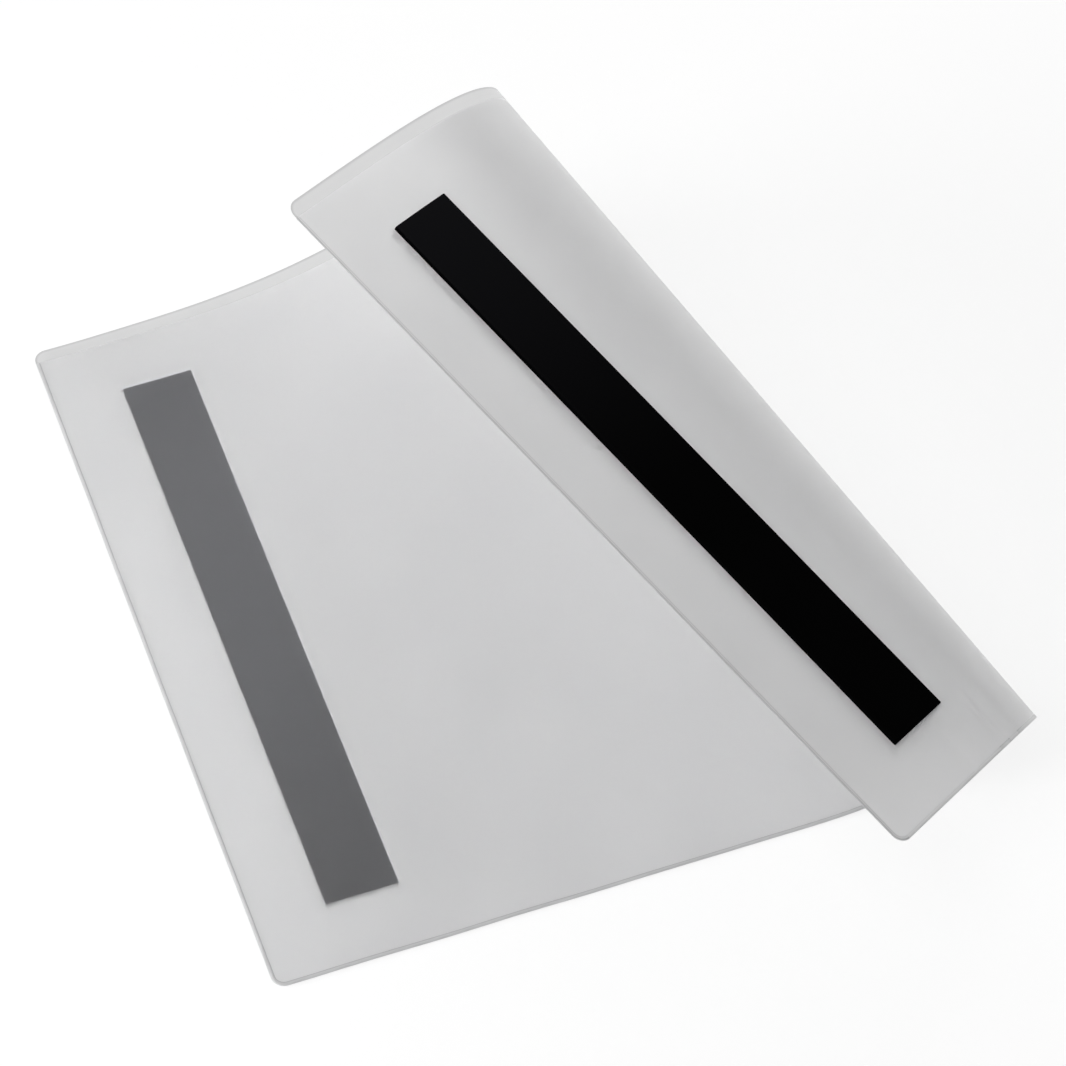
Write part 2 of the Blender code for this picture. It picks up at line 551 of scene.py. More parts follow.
@dataclass
class PocketLayout:
    """The stretches of the pocket from left to right."""

    sheet: RolledSheet
    joints: list[dict]
    flat_step: float = 0.0016
    bend_step: float = 0.0011
    zone_share: float = 0.92
    zone_rows: int = 23
    stretches: list[Stretch] = field(default_factory=list)

    def __post_init__(self) -> None:
        """Cut the pocket halfway between the bends."""
        roll = self.sheet.roll
        bends = roll.bend_places()
        cuts = (bends[1:] + bends[:-1]) / 2
        cuts = np.concatenate(([2 * bends[0] - cuts[0]], cuts, [2 * bends[-1] - cuts[-1]]))
        parents = [joint["parent"] for joint in self.joints]
        children = [joint["child"] for joint in self.joints]
        self.stretches.append(Stretch(0, None, cuts[0], (parents[0],), self.flat_step))
        for number in range(roll.bend_count):
            bodies = (parents[number], children[number])
            stretch = Stretch(number + 1, cuts[number], cuts[number + 1], bodies, self.bend_step)
            stretch.start, stretch.end = self.bend_zone(stretch, bends[number])
            self.stretches.append(stretch)
        last = roll.bend_count + 1
        self.stretches.append(Stretch(last, cuts[-1], None, (children[-1],), self.flat_step))

    def side_stretches(self) -> list[tuple[Side, Stretch]]:
        """Each short side with the stretch that it lies in."""
        return [(Side.LEFT, self.stretches[0]), (Side.RIGHT, self.stretches[-1])]

    def bend_zone(self, stretch: Stretch, bend: float) -> tuple[Vector, Vector]:
        """Start and end of the zone in which a stretch turns.

        Args:
            stretch: The stretch, whose edges stay outside the zone.
            bend: Place of the bend in it.

        Returns:
            Two points on a line square to the bend.
        """
        roll = self.sheet.roll
        along = np.linspace(0.0, roll.height, self.zone_rows)
        middle = len(along) // 2
        line = self.sheet.carry(roll.line_at(bend, along), along, np.zeros_like(along))
        edges = [
            self.sheet.carry(roll.line_at(place, along), along, np.zeros_like(along))
            for place in (stretch.left, stretch.right)
        ]
        axis = line[-1] - line[0]
        onward = edges[1][middle] - edges[0][middle]
        onward -= axis * (onward @ axis) / (axis @ axis)
        onward /= np.linalg.norm(onward)
        before = ((line[middle] - edges[0]) @ onward).min()
        after = ((edges[1] - line[middle]) @ onward).min()
        reach = onward * min(before, after) * self.zone_share
        return Vector(line[middle] - reach), Vector(line[middle] + reach)


class ShaderGroups:
    """Shader effects that several finishes share, each built once."""

    GRAIN_DETAIL = 3.0
    CLOUD_DETAIL = 2.0

    @staticmethod
    def sockets(group: bpy.types.NodeTree, kind: str, direction: str, *names: str) -> None:
        """Add named sockets to a group.

        Args:
            group: The group's nodes.
            kind: Float or Vector.
            direction: INPUT or OUTPUT.
            names: Names of the sockets.
        """
        for name in names:
            group.interface.new_socket(name=name, in_out=direction, socket_type=f"NodeSocket{kind}")

    @classmethod
    def grain(cls) -> bpy.types.NodeTree:
        """Fine grain with soft clouds in it.

        Returns:
            A group with the inputs Place, Fine Scale and Cloud Scale, and the outputs Grain and Cloud.
        """
        found = bpy.data.node_groups.get("surface_grain")
        if found:
            return found
        group = bpy.data.node_groups.new("surface_grain", "ShaderNodeTree")
        cls.sockets(group, "Vector", "INPUT", "Place")
        cls.sockets(group, "Float", "INPUT", "Fine Scale", "Cloud Scale")
        cls.sockets(group, "Float", "OUTPUT", "Grain", "Cloud")
        nodes, links = group.nodes, group.links
        entry, leave = nodes.new("NodeGroupInput"), nodes.new("NodeGroupOutput")
        for scale, name, detail in (
            ("Fine Scale", "Grain", cls.GRAIN_DETAIL),
            ("Cloud Scale", "Cloud", cls.CLOUD_DETAIL),
        ):
            noise = nodes.new("ShaderNodeTexNoise")
            noise.inputs["Detail"].default_value = detail
            links.new(entry.outputs["Place"], noise.inputs["Vector"])
            links.new(entry.outputs[scale], noise.inputs["Scale"])
            links.new(noise.outputs["Fac"], leave.inputs[name])
        return group

    @classmethod
    def cut_edge(cls) -> bpy.types.NodeTree:
        """Mask that is 1 on the pocket's cut edge, with its round corners, and fades inwards.

        Returns:
            A group with the inputs Place, Middle, Half, Radius and Reach, and the output Edge. Half
            reaches from the middle to the centres of the round corners.
        """
        found = bpy.data.node_groups.get("cut_edge")
        if found:
            return found
        group = bpy.data.node_groups.new("cut_edge", "ShaderNodeTree")
        cls.sockets(group, "Vector", "INPUT", "Place", "Middle", "Half")
        cls.sockets(group, "Float", "INPUT", "Radius", "Reach")
        cls.sockets(group, "Float", "OUTPUT", "Edge")
        nodes, links = group.nodes, group.links
        entry, leave = nodes.new("NodeGroupInput"), nodes.new("NodeGroupOutput")

        def join(kind: str, operation: str, *sources: bpy.types.NodeSocket) -> bpy.types.Node:
            """Add a calculation to the group.

            Args:
                kind: Kind of the node.
                operation: What it works out.
                sources: What its first inputs read.

            Returns:
                The node.
            """
            node = nodes.new(kind)
            node.operation = operation
            for target, source in zip(node.inputs, sources):
                links.new(source, target)
            return node

        vector, number = "ShaderNodeVectorMath", "ShaderNodeMath"
        away = join(vector, "SUBTRACT", entry.outputs["Place"], entry.outputs["Middle"])
        away = join(vector, "ABSOLUTE", away.outputs[0])
        past = join(vector, "SUBTRACT", away.outputs[0], entry.outputs["Half"])
        corner = join(vector, "MAXIMUM", past.outputs[0])
        corner = join(vector, "LENGTH", corner.outputs[0])
        split = nodes.new("ShaderNodeSeparateXYZ")
        links.new(past.outputs[0], split.inputs[0])
        side = join(number, "MAXIMUM", split.outputs["X"], split.outputs["Y"])
        side = join(number, "MINIMUM", side.outputs[0])
        side.inputs[1].default_value = 0.0
        outward = join(number, "ADD", corner.outputs["Value"], side.outputs[0])
        inside = join(number, "SUBTRACT", entry.outputs["Radius"], outward.outputs[0])
        fade = nodes.new("ShaderNodeMapRange")
        fade.interpolation_type = "SMOOTHSTEP"
        fade.inputs["To Min"].default_value = 1.0
        fade.inputs["To Max"].default_value = 0.0
        links.new(inside.outputs[0], fade.inputs["Value"])
        links.new(entry.outputs["Reach"], fade.inputs["From Max"])
        links.new(fade.outputs["Result"], leave.inputs["Edge"])
        return group


@dataclass
class MaterialSheet:
    """A material under construction: its nodes, its links and its Principled shader."""

    material: bpy.types.Material

    @classmethod
    def start(cls, name: str) -> "MaterialSheet":
        """Begin a material with a Principled shader.

        Args:
            name: Name of the material.

        Returns:
            The sheet.
        """
        material = bpy.data.materials.new(name)
        material.use_nodes = True
        return cls(material)

    @property
    def nodes(self) -> bpy.types.Nodes:
        """The material's nodes."""
        return self.material.node_tree.nodes

    @property
    def links(self) -> bpy.types.NodeLinks:
        """The material's links."""
        return self.material.node_tree.links

    @property
    def shader(self) -> bpy.types.Node:
        """The Principled shader."""
        return self.nodes["Principled BSDF"]

    def set(self, **values: object) -> None:
        """Set plain values on the shader, with underscores for the spaces in a socket's name."""
        for name, value in values.items():
            self.shader.inputs[name.replace("_", " ")].default_value = value

    def flat_place(self) -> bpy.types.NodeSocket:
        """The surface's place on the flat pocket.

        Returns:
            The socket that puts the place out.
        """
        node = self.nodes.new("ShaderNodeUVMap")
        node.uv_map = FLAT_MAP
        return node.outputs["UV"]

    def stored_length(self, name: str, axis: str) -> bpy.types.NodeSocket:
        """One of the two lengths that a texture map keeps.

        Args:
            name: Name of the map.
            axis: X for the first length and Y for the second.

        Returns:
            The socket that puts the length out.
        """
        source = self.nodes.new("ShaderNodeUVMap")
        source.uv_map = name
        split = self.nodes.new("ShaderNodeSeparateXYZ")
        self.links.new(source.outputs["UV"], split.inputs[0])
        return split.outputs[axis]

    def group(
        self, tree: bpy.types.NodeTree, place: bpy.types.NodeSocket, **values: object
    ) -> bpy.types.Node:
        """Place a shared effect in the material.

        Args:
            tree: The effect.
            place: The surface's place.
            values: The effect's own values, with underscores for the spaces in a socket's name.

        Returns:
            The effect's node.
        """
        node = self.nodes.new("ShaderNodeGroup")
        node.node_tree = tree
        self.links.new(place, node.inputs["Place"])
        for name, value in values.items():
            node.inputs[name.replace("_", " ")].default_value = value
        return node

    def ranged(
        self, value: bpy.types.NodeSocket, low: float, high: float, start: float = 0.0, end: float = 1.0
    ) -> bpy.types.NodeSocket:
        """Map a value onto another range.

        Args:
            value: The value.
            low: Result at the start.
            high: Result at the end.
            start: Value at which the range starts.
            end: Value at which the range ends.

        Returns:
            The socket that puts the result out.
        """
        node = self.nodes.new("ShaderNodeMapRange")
        self.links.new(value, node.inputs["Value"])
        for name, number in (("From Min", start), ("From Max", end), ("To Min", low), ("To Max", high)):
            node.inputs[name].default_value = number
        return node.outputs["Result"]

    def mixed(
        self, mask: bpy.types.NodeSocket, first: object, second: object
    ) -> bpy.types.NodeSocket:
        """Mix two colours by a mask.

        Args:
            mask: Share of the second colour.
            first: A socket or three numbers.
            second: A socket or three numbers.

        Returns:
            The socket that puts the mixed colour out.
        """
        node = self.nodes.new("ShaderNodeMix")
        node.data_type = "RGBA"
        self.links.new(mask, node.inputs["Factor"])
        colour_inputs = [item for item in node.inputs if item.type == "RGBA"]
        for target, colour in zip(colour_inputs, (first, second)):
            if isinstance(colour, bpy.types.NodeSocket):
                self.links.new(colour, target)
            else:
                target.default_value = (*colour, 1.0)
        return next(item for item in node.outputs if item.type == "RGBA")


@dataclass(frozen=True)
class Grain:
    """The grain of a finish: fine in its roughness and bump, with soft clouds in its colour."""

    fine_scale: float
    cloud_scale: float
    bump_strength: float
    bump_depth: float
    fine_range: Span = (0.3, 0.7)
    cloud_range: Span = (0.0, 1.0)

    def dress(
        self,
        sheet: MaterialSheet,
        place: bpy.types.NodeSocket,
        roughness: Span,
        colours: tuple[Colour, Colour],
    ) -> bpy.types.NodeSocket:
        """Give a material its roughness and bump.

        Args:
            sheet: The material.
            place: The surface's place.
            roughness: The roughness in the lows and on the highs of the grain.
            colours: The plain colour and that of the clouds.

        Returns:
            The socket that puts the clouded colour out.
        """
        scales = {"Fine_Scale": self.fine_scale, "Cloud_Scale": self.cloud_scale}
        node = sheet.group(ShaderGroups.grain(), place, **scales)
        rough = sheet.ranged(node.outputs["Grain"], *roughness, *self.fine_range)
        sheet.links.new(rough, sheet.shader.inputs["Roughness"])
        bump = sheet.nodes.new("ShaderNodeBump")
        bump.inputs["Strength"].default_value = self.bump_strength
        bump.inputs["Distance"].default_value = self.bump_depth
        sheet.links.new(node.outputs["Grain"], bump.inputs["Height"])
        sheet.links.new(bump.outputs["Normal"], sheet.shader.inputs["Normal"])
        cloud = sheet.ranged(node.outputs["Cloud"], 0.0, 1.0, *self.cloud_range)
        return sheet.mixed(cloud, *colours)


@dataclass(frozen=True)
class FrostedFilm:
    """Thin frosted plastic: it blurs what lies behind it and has a soft milky colour of its own."""

    name: str
    clearness: float
    colour: Colour
    cloud_colour: Colour
    roughness: Span
    sheen: float = 0.0
    ior: float = 1.45
    edge_colour: Colour = (0.60, 0.60, 0.605)
    edge_reach: float = 0.0004
    sheen_roughness: float = 0.3
    sheen_ior: float = 1.45
    grain: Grain = Grain(
        fine_scale=5200.0,
        cloud_scale=45.0,
        bump_strength=0.25,
        bump_depth=0.00002,
        cloud_range=(0.35, 0.65),
    )

    def build(self, roll: Roll) -> bpy.types.Material:
        """Make the material.

        Args:
            roll: The pocket's outline, for its cut edge.

        Returns:
            The material.
        """
        sheet = MaterialSheet.start(self.name)
        sheet.set(Transmission_Weight=self.clearness, IOR=self.ior)
        sheet.set(Coat_Weight=self.sheen, Coat_Roughness=self.sheen_roughness, Coat_IOR=self.sheen_ior)
        place = sheet.flat_place()
        colour = self.grain.dress(sheet, place, self.roughness, (self.colour, self.cloud_colour))
        middle = (roll.width / 2, roll.height / 2, 0.0)
        half = (middle[0] - roll.corner_radius, middle[1] - roll.corner_radius, 0.0)
        edge = sheet.group(
            ShaderGroups.cut_edge(),
            place,
            Middle=middle,
            Half=half,
            Radius=roll.corner_radius,
            Reach=self.edge_reach,
        )
        colour = sheet.mixed(edge.outputs["Edge"], colour, self.edge_colour)
        sheet.links.new(colour, sheet.shader.inputs["Base Color"])
        return sheet.material


@dataclass(frozen=True)
class WeldedPlastic:
    """The fused plastic of a weld, with a darker line where the welding bar pressed its inner side.

    The line and the outer rim are measured inwards from the weld's outer side.
    """

    name: str = "welded_plastic"
    colour: Colour = (0.84, 0.84, 0.843)
    cloud_colour: Colour = (0.80, 0.80, 0.804)
    line_colour: Colour = (0.63, 0.63, 0.635)
    line_start: float = 0.00055
    line_full: float = 0.00066
    rim_colour: Colour = (0.84, 0.84, 0.843)
    rim_reach: float = 0.0004
    clearness: float = 0.6
    ior: float = 1.3
    roughness: Span = (0.35, 0.5)
    grain: Grain = Grain(
        fine_scale=2600.0,
        cloud_scale=160.0,
        bump_strength=0.2,
        bump_depth=0.00003,
        fine_range=(0.0, 1.0),
    )

    def build(self) -> bpy.types.Material:
        """Make the material, or find it if another weld has it already.

        Returns:
            The material.
        """
        found = bpy.data.materials.get(self.name)
        if found:
            return found
        sheet = MaterialSheet.start(self.name)
        sheet.set(Transmission_Weight=self.clearness, IOR=self.ior)
        place = sheet.flat_place()
        colour = self.grain.dress(sheet, place, self.roughness, (self.colour, self.cloud_colour))
        inwards = sheet.stored_length(SECTION_MAP, "X")
        line = sheet.ranged(inwards, 0.0, 1.0, self.line_start, self.line_full)
        colour = sheet.mixed(line, colour, self.line_colour)
        rim = sheet.ranged(inwards, 1.0, 0.0, 0.0, self.rim_reach)
        colour = sheet.mixed(rim, colour, self.rim_colour)
        sheet.links.new(colour, sheet.shader.inputs["Base Color"])
        return sheet.material


@dataclass(frozen=True)
class MagneticRubber:
    """Matt black magnetic rubber with a fine grain, and a painted sheen: lighter towards the mouth.

    The black tape is finished in the same way, with values of its own.
    """

    name: str = "magnetic_rubber"
    colour: Colour = (0.0002, 0.0002, 0.0002)
    cloud_colour: Colour = (0.0006, 0.0006, 0.0007)
    # Painted sheen: from the start to the full along, the outer face is painted lighter, in place of
    # light reflected at the mouth end.
    painted_sheen_colour: Colour = (0.0070, 0.0070, 0.0082)
    painted_sheen_start: float = 0.105
    painted_sheen_full: float = 0.200
    face_depth: float = 0.00018
    roughness: Span = (0.8, 0.9)
    specular: float = 0.02
    grain: Grain = Grain(fine_scale=2400.0, cloud_scale=60.0, bump_strength=0.35, bump_depth=0.00006)

    def build(self) -> bpy.types.Material:
        """Make the material.

        Returns:
            The material.
        """
        sheet = MaterialSheet.start(self.name)
        sheet.set(Specular_IOR_Level=self.specular)
        place = sheet.flat_place()
        colour = self.grain.dress(sheet, place, self.roughness, (self.colour, self.cloud_colour))
        # Painted sheen: lighter towards the mouth, standing in for reflected light.
        along = sheet.stored_length(FLAT_MAP, "Y")
        painted_sheen = sheet.ranged(along, 0.0, 1.0, self.painted_sheen_start, self.painted_sheen_full)
        depth = sheet.stored_length(SECTION_MAP, "X")
        face = sheet.ranged(depth, 1.0, 0.0, 0.0, self.face_depth)
        colour = sheet.mixed(face, colour, sheet.mixed(painted_sheen, colour, self.painted_sheen_colour))
        sheet.links.new(colour, sheet.shader.inputs["Base Color"])
        return sheet.material


@dataclass
class Films:
    """The back film and the shorter front film, each made of stretches cut between the frame's bends.
    """

    layout: PocketLayout
    relief: Relief
    row_step: float = 0.004
    corner_rows: int = 7
    back_finish: FrostedFilm = FrostedFilm(
        "milky_back_film",
        clearness=0.36,
        colour=MILKY,
        cloud_colour=MILKY_CLOUD,
        roughness=(0.5, 0.6),
        sheen=1.0,
    )
    taped_finish: FrostedFilm = FrostedFilm(
        "taped_back_film",
        clearness=0.94,
        colour=(0.80, 0.82, 0.92),
        cloud_colour=(0.78, 0.80, 0.90),
        roughness=(0.2, 0.3),
    )
    lip_finish: FrostedFilm = FrostedFilm(
        "single_lip_film",
        clearness=0.9,
        colour=(0.52, 0.52, 0.522),
        cloud_colour=(0.50, 0.50, 0.502),
        roughness=(0.36, 0.44),
        ior=1.1,
        edge_colour=(0.32, 0.32, 0.325),
        edge_reach=0.0010,
    )
    front_finish: FrostedFilm = FrostedFilm(
        "frosted_front_film",
        clearness=0.92,
        colour=MILKY,
        cloud_colour=MILKY_CLOUD,
        roughness=(0.36, 0.44),
    )

    def rows(self, top: float, round_top: bool) -> np.ndarray:
        """Rows of a film, closer together at the round corners.

        Args:
            top: Height of the film.
            round_top: True if its upper corners are round too.

        Returns:
            Along of each row.
        """
        roll = self.layout.sheet.roll
        quarter = np.linspace(0.0, math.pi / 2, self.corner_rows + 1)
        corner = roll.corner_radius * (1.0 - np.cos(quarter))
        upper = top - roll.corner_radius
        low, high = roll.strip_ends
        stops = [corner[-1], low, high, roll.front_height]
        if round_top:
            stops.append(upper)
        parts = [corner[:-1], stops[:1]]
        parts += [spaced(start, end, self.row_step)[1:] for start, end in zip(stops[:-1], stops[1:])]
        if round_top:
            parts.append(top - corner[:-1][::-1])
        return np.concatenate(parts)

    def film_stretch(
        self, name: str, stretch: Stretch, rows: np.ndarray, height_at: HeightAt, front: bool
    ) -> bpy.types.Object:
        """Mesh of one stretch of a film.

        Args:
            name: Name of the piece.
            stretch: The stretch of the pocket that it covers.
            rows: Along of each row of vertices.
            height_at: The film's height for across and along.
            front: True if the film faces the pocket's front, and False if it faces the back.

        Returns:
            The piece, not yet attached to a body.
        """
        sheet = self.layout.sheet
        across = stretch.across(sheet.roll, rows)
        width = across.shape[1]
        along = np.repeat(rows, width)
        across = across.ravel()
        points = sheet.carry(across, along, height_at(across, along))
        faces = []
        for row in range(len(rows) - 1):
            for column in range(width - 1):
                here = row * width + column
                face = (here, here + 1, here + width + 1, here + width)
                faces.append(face if front else face[::-1])
        piece = new_piece(name, points, faces)
        store_places(piece, across, along)
        normals = sheet.normals(across, along, height_at)
        piece.data.normals_split_custom_set_from_vertices((normals if front else -normals).tolist())
        return piece

    def area_at(self, across: float, along: float) -> FilmArea:
        """The area of the back film that a flat place lies in.

        Args:
            across: The place's distance from the left edge.
            along: The place's distance from the foot.

        Returns:
            The area.
        """
        roll = self.layout.sheet.roll
        if along > roll.front_height:
            return FilmArea.LIP
        low, high = roll.strip_ends
        sides = [roll.clear_sides(side) for side in Side]
        held = low < along < high and any(left < across < right for left, right in sides)
        return FilmArea.TAPED if held else FilmArea.OPEN

    def dress(self, piece: bpy.types.Object, finishes: dict[FilmArea, bpy.types.Material]) -> None:
        """Give each area of a piece its finish.

        Args:
            piece: A stretch of a film.
            finishes: The finish of each area. An area that isn't named looks like the open film.
        """
        mesh = piece.data
        layer = mesh.uv_layers[FLAT_MAP].data
        slots: list[FilmArea] = []
        numbers = []
        for face in mesh.polygons:
            area = self.area_at(*np.mean([layer[corner].uv[:] for corner in face.loop_indices], axis=0))
            area = area if area in finishes else FilmArea.OPEN
            if area not in slots:
                slots.append(area)
                mesh.materials.append(finishes[area])
            numbers.append(slots.index(area))
        mesh.polygons.foreach_set("material_index", numbers)

    def build(self) -> list[bpy.types.Object]:
        """Make both films, dress them, and attach the end stretches to the frame; the others keep their
        place.

        Returns:
            The pieces.
        """
        roll = self.layout.sheet.roll
        back_finishes = {
            FilmArea.OPEN: self.back_finish,
            FilmArea.TAPED: self.taped_finish,
            FilmArea.LIP: self.lip_finish,
        }
        front_finishes = {FilmArea.OPEN: self.front_finish}
        pieces = []
        for kind, top, height_at, film in (
            ("back_film", roll.height, self.relief.back, back_finishes),
            ("front_film", roll.front_height, self.relief.front, front_finishes),
        ):
            finishes = {area: finish.build(roll) for area, finish in film.items()}
            facing_front = kind == "front_film"
            rows = self.rows(top, round_top=not facing_front)
            for stretch in self.layout.stretches:
                name = f"smooth_{kind}_{stretch.number:02d}"
                piece = self.film_stretch(name, stretch, rows, height_at, facing_front)
                self.dress(piece, finishes)
                stretch.attach(piece)
                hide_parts(f"{kind}_{min(stretch.number, roll.bend_count):02d}")
                pieces.append(piece)
        return pieces


@dataclass
class Welds:
    """The welds along the foot and the two short sides, each a flat rib through both films.

    The rim shares say how far each line along the rib stands out of the films, from its outer side
    to its inner side.
    """

    layout: PocketLayout
    relief: Relief
    inset: float = 0.0002
    width: float = 0.0009
    stand_out: float = 0.00004
    rim_shares: tuple[float, ...] = (0.0, 1.0, 1.0, 0.3, 0.3, 0.0)
    bevel: float = 0.0001
    sharp_angle: float = math.radians(35)
    step: float = 0.003
    foot_division: int = 3
    corner_points: int = 9
    front_finish: WeldedPlastic = WeldedPlastic()
    side_back_with_painted_rim_shade: WeldedPlastic = WeldedPlastic(
        "milky_side_weld_back_painted_rim_shade",
        colour=MILKY,
        cloud_colour=MILKY_CLOUD,
        line_colour=(0.80, 0.80, 0.804),
        # Darker outer rim: partly the cut edge's own look, partly painted shade on the cut face.
        rim_colour=(0.52, 0.52, 0.525),
        clearness=0.30,
    )
    # Painted light: the back of the foot weld is painted lighter than that of the side welds, to make
    # up for the shade it lies in.
    foot_back_painted_lit: WeldedPlastic = WeldedPlastic(
        "milky_foot_weld_back_painted_lit",
        colour=(0.95, 0.95, 0.953),
        cloud_colour=(0.94, 0.94, 0.943),
        line_colour=(0.86, 0.86, 0.864),
        rim_colour=(0.96, 0.96, 0.963),
        clearness=0.30,
    )

    def rib(
        self, name: str, across: np.ndarray, along: np.ndarray, inward: np.ndarray, closed: bool
    ) -> bpy.types.Object:
        """Mesh of a rib that follows a path along the pocket's edge.

        Args:
            name: Name of the piece.
            across: Across of each point of the path, on the weld's outer side.
            along: Along of each point of the path.
            inward: Unit vectors in the flat pocket, from the path to the weld's inner side.
            closed: True if both ends get a face.

        Returns:
            The piece, not yet attached to a body.
        """
        sheet = self.layout.sheet
        line = (self.front_finish.line_start, self.front_finish.line_full)
        offsets = np.array((0.0, self.bevel, *line, self.width - self.bevel, self.width))
        profile = [(offset, share, True) for offset, share in zip(offsets, self.rim_shares)]
        profile += [(offset, share, False) for offset, share, _ in profile[::-1]]
        rings, flat_across, flat_along = [], [], []
        for offset, share, top in profile:
            at_across = across + inward[:, 0] * offset
            at_along = along + inward[:, 1] * offset
            if top:
                height = self.relief.front(at_across, at_along) + self.stand_out * share
            else:
                height = self.relief.back(at_across, at_along) - self.stand_out * share
            rings.append(sheet.carry(at_across, at_along, height))
            flat_across.append(at_across)
            flat_along.append(at_along)
        count, around = len(across), len(profile)
        points = np.stack(rings, axis=1).reshape(-1, 3)
        faces = []
        for row in range(count - 1):
            for side in range(around):
                beside = (side + 1) % around
                here, there = row * around, (row + 1) * around
                faces.append((here + side, here + beside, there + beside, there + side))
        if closed:
            faces.append(tuple(range(around))[::-1])
            faces.append(tuple((count - 1) * around + side for side in range(around)))
        piece = new_piece(name, points, faces)
        piece.data.set_sharp_from_angle(angle=self.sharp_angle)
        store_places(piece, np.stack(flat_across, axis=1).ravel(), np.stack(flat_along, axis=1).ravel())
        rib_offsets = np.tile([offset for offset, _, _ in profile], count)
        store_places(piece, rib_offsets, np.repeat(np.arange(count) * self.step, around), SECTION_MAP)
        return piece

    def dress(self, piece: bpy.types.Object, back_finish: WeldedPlastic) -> None:
        """Give a rib its finishes.

        Args:
            piece: A rib, with the faces along it before those at its ends.
            back_finish: The finish of its back side.
        """
        mesh = piece.data
        for finish in (self.front_finish, back_finish):
            mesh.materials.append(finish.build())
        half = len(self.rim_shares)
        back_sides = range(half, 2 * half - 1)
        total = len(mesh.polygons)
        long_faces = total - total % (2 * half)
        numbers = [int(face < long_faces and face % (2 * half) in back_sides) for face in range(total)]
        mesh.polygons.foreach_set("material_index", numbers)

    def side_path(self, side: Side) -> tuple[np.ndarray, np.ndarray, np.ndarray]:
        """Path of a side weld, from the mouth down and round the corner.

        Args:
            side: The weld's side of the pocket.

        Returns:
            Across, along and the inward direction of each point.
        """
        roll = self.layout.sheet.roll
        radius = roll.corner_radius
        turn = radius - self.inset
        down = spaced(roll.front_height, radius, self.step)
        angles = np.linspace(0.0, math.pi / 2, self.corner_points)[1:]
        across = np.concatenate((np.full(len(down), self.inset), radius - turn * np.cos(angles)))
        along = np.concatenate((down, radius - turn * np.sin(angles)))
        inward_across = np.concatenate((np.ones(len(down)), np.cos(angles)))
        inward_along = np.concatenate((np.zeros(len(down)), np.sin(angles)))
        if side is Side.RIGHT:
            across, inward_across = roll.width - across, -inward_across
        return across, along, np.stack((inward_across, inward_along), axis=1)

    def foot_path(self, stretch: Stretch) -> tuple[np.ndarray, np.ndarray, np.ndarray]:
        """Path of the foot weld in one stretch.

        Args:
            stretch: The stretch of the pocket.

        Returns:
            Across, along and the inward direction of each point.
        """
        roll = self.layout.sheet.roll
        low, high = roll.corner_radius, roll.width - roll.corner_radius
        if stretch.left is not None:
            low = float(roll.line_at(stretch.left, np.zeros(1))[0])
        if stretch.right is not None:
            high = float(roll.line_at(stretch.right, np.zeros(1))[0])
        across = spaced(low, high, self.step / self.foot_division)
        along = np.full(len(across), self.inset)
        return across, along, np.tile((0.0, 1.0), (len(across), 1))

    def build(self) -> list[bpy.types.Object]:
        """Make the welds, dress them, and attach those in the end stretches to the frame; the others
        keep their place.

        Returns:
            The pieces.
        """
        roll = self.layout.sheet.roll
        pieces = []
        for side, stretch in self.layout.side_stretches():
            piece = self.rib(f"{side.value}_weld", *self.side_path(side), closed=True)
            if side is Side.RIGHT:
                piece.data.flip_normals()
            self.dress(piece, self.side_back_with_painted_rim_shade)
            stretch.attach(piece)
            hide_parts(f"{side.value}_seam")
            pieces.append(piece)
        for stretch in self.layout.stretches:
            piece = self.rib(f"foot_weld_{stretch.number:02d}", *self.foot_path(stretch), closed=False)
            self.dress(piece, self.foot_back_painted_lit)
            stretch.attach(piece)
            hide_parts(f"foot_seam_{min(stretch.number, roll.bend_count):02d}")
            pieces.append(piece)
        return pieces


